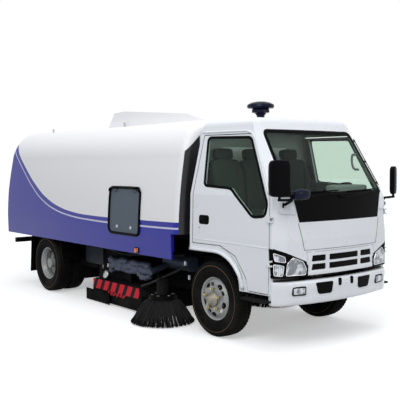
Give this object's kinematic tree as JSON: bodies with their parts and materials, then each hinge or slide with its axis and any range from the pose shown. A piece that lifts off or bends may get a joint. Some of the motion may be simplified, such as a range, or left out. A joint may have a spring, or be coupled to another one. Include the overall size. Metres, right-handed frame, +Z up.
{
  "type": "street sweeper truck",
  "caption": "Compact road sweeper on a cab-over light truck chassis: tipping hopper with tail door, disc brooms at both sides, suction nozzle between the axles.",
  "frame": {"origin": "ground level under the middle of the vehicle's overall length and width", "axes": "+X forwards, +Y to the driver's left, +Z up"},
  "size_m": [5.608, 2.2882, 2.3738],
  "materials": {
    "white_paint": "gloss",
    "purple_paint": "gloss",
    "grey_paint": "satin",
    "black_frame": "satin",
    "cast": "rough",
    "wheel_silver": "satin",
    "tyre": "matte",
    "grille_black": "satin",
    "trim_black": "satin",
    "dash_grey": "matte",
    "window_glass": "polished",
    "lamp_glass": "polished",
    "seat_cloth": "woven",
    "bare_steel": "brushed",
    "silver_metal": "satin",
    "bristle_black": "matte"
  },
  "bodies": {
    "chassis": {"frame": "black_frame", "front_axle": "cast", "rear_axle": "cast", "springs": "cast", "engine": "cast", "bumper": "white_paint", "aux_engine": "cast", "underrun_bar": "black_frame", "rear_mudguards": "trim_black", "step_plates": "bare_steel", "side_tanks": "grey_paint", "exhaust": "silver_metal", "suction_nozzle": "black_frame", "suction_duct": "black_frame", "arm_brackets": "black_frame"},
    "cab": {"cab_shell": "white_paint", "grille_panel": "grille_black", "garnish": "trim_black", "headlamps": "lamp_glass", "cab_glass": "window_glass", "mirrors": "trim_black", "dashboard": "dash_grey", "seat_bases": "trim_black", "seats": "seat_cloth"},
    "door_left": {"door_left": "white_paint", "door_glass_left": "window_glass"},
    "door_right": {"door_right": "white_paint", "door_glass_right": "window_glass"},
    "steering_wheel": {"steering_wheel": "trim_black"},
    "knuckle_left": {"knuckle_left": "cast"},
    "knuckle_right": {"knuckle_right": "cast"},
    "wheel_front_left": {"rim_front_left": "wheel_silver", "tyre_front_left": "tyre"},
    "wheel_front_right": {"rim_front_right": "wheel_silver", "tyre_front_right": "tyre"},
    "wheel_rear_left": {"rim_rear_left": "wheel_silver", "tyre_rear_left": "tyre"},
    "wheel_rear_right": {"rim_rear_right": "wheel_silver", "tyre_rear_right": "tyre"},
    "hopper": {"body_shell": "purple_paint", "air_cleaner": "black_frame"},
    "tail_door": {"tail_door": "purple_paint"},
    "service_panel": {"service_panel": "grey_paint"},
    "broom_arm_left": {"broom_arm_left": "black_frame"},
    "broom_arm_right": {"broom_arm_right": "black_frame"},
    "broom_left": {"broom_left": "bristle_black"},
    "broom_right": {"broom_right": "bristle_black"}
  },
  "joints": [
    {"name": "cab_tilt", "type": "hinge", "parent": "chassis", "child": "cab", "pos_m": [2.626, 0, 0.668], "axis": [0, 1, 0], "range_deg": [0, 45]},
    {"name": "door_left_hinge", "type": "hinge", "parent": "cab", "child": "door_left", "pos_m": [2.509, 0.814, 1], "axis": [0, 0, -1], "range_deg": [0, 70]},
    {"name": "door_right_hinge", "type": "hinge", "parent": "cab", "child": "door_right", "pos_m": [2.509, -0.814, 1], "axis": [0, 0, 1], "range_deg": [0, 70]},
    {"name": "steering_column", "type": "hinge", "parent": "cab", "child": "steering_wheel", "pos_m": [2.166, 0.43, 1.368], "axis": [-0.5299, 0, 0.848], "range_deg": [-580, 580]},
    {"name": "steer_left", "type": "hinge", "parent": "chassis", "child": "knuckle_left", "pos_m": [1.726, 0.575, 0.372], "axis": [0, 0, 1], "range_deg": [-32, 32]},
    {"name": "steer_right", "type": "hinge", "parent": "chassis", "child": "knuckle_right", "pos_m": [1.726, -0.575, 0.372], "axis": [0, 0, 1], "range_deg": [-32, 32]},
    {"name": "wheel_spin_front_left", "type": "hinge", "parent": "knuckle_left", "child": "wheel_front_left", "pos_m": [1.726, 0.708, 0.372], "axis": [0, 1, 0], "continuous": true},
    {"name": "wheel_spin_front_right", "type": "hinge", "parent": "knuckle_right", "child": "wheel_front_right", "pos_m": [1.726, -0.708, 0.372], "axis": [0, 1, 0], "continuous": true},
    {"name": "wheel_spin_rear_left", "type": "hinge", "parent": "chassis", "child": "wheel_rear_left", "pos_m": [-1.634, 0.706, 0.372], "axis": [0, 1, 0], "continuous": true},
    {"name": "wheel_spin_rear_right", "type": "hinge", "parent": "chassis", "child": "wheel_rear_right", "pos_m": [-1.634, -0.706, 0.372], "axis": [0, 1, 0], "continuous": true},
    {"name": "hopper_tip", "type": "hinge", "parent": "chassis", "child": "hopper", "pos_m": [-2.534, 0, 0.62], "axis": [0, -1, 0], "range_deg": [0, 45]},
    {"name": "tail_door_hinge", "type": "hinge", "parent": "hopper", "child": "tail_door", "pos_m": [-2.774, 0, 2.03], "axis": [0, 1, 0], "range_deg": [0, 80]},
    {"name": "service_panel_hinge", "type": "hinge", "parent": "hopper", "child": "service_panel", "pos_m": [0.346, -0.93, 1.425], "axis": [-1, 0, 0], "range_deg": [0, 80]},
    {"name": "broom_swing_left", "type": "hinge", "parent": "chassis", "child": "broom_arm_left", "pos_m": [0.348, 0.47, 0.47], "axis": [0, 0, 1], "range_deg": [-8, 10]},
    {"name": "broom_swing_right", "type": "hinge", "parent": "chassis", "child": "broom_arm_right", "pos_m": [0.348, -0.47, 0.47], "axis": [0, 0, -1], "range_deg": [-8, 10]},
    {"name": "broom_spin_left", "type": "hinge", "parent": "broom_arm_left", "child": "broom_left", "pos_m": [0.876, 0.8, 0.272], "axis": [0, 0, 1], "continuous": true},
    {"name": "broom_spin_right", "type": "hinge", "parent": "broom_arm_right", "child": "broom_right", "pos_m": [0.876, -0.8, 0.272], "axis": [0, 0, -1], "continuous": true}
  ],
  "couplings": [
    {"joint": "steer_right", "follows": "steer_left", "ratio": 1},
    {"joint": "steering_column", "follows": "steer_left", "ratio": 18}
  ]
}
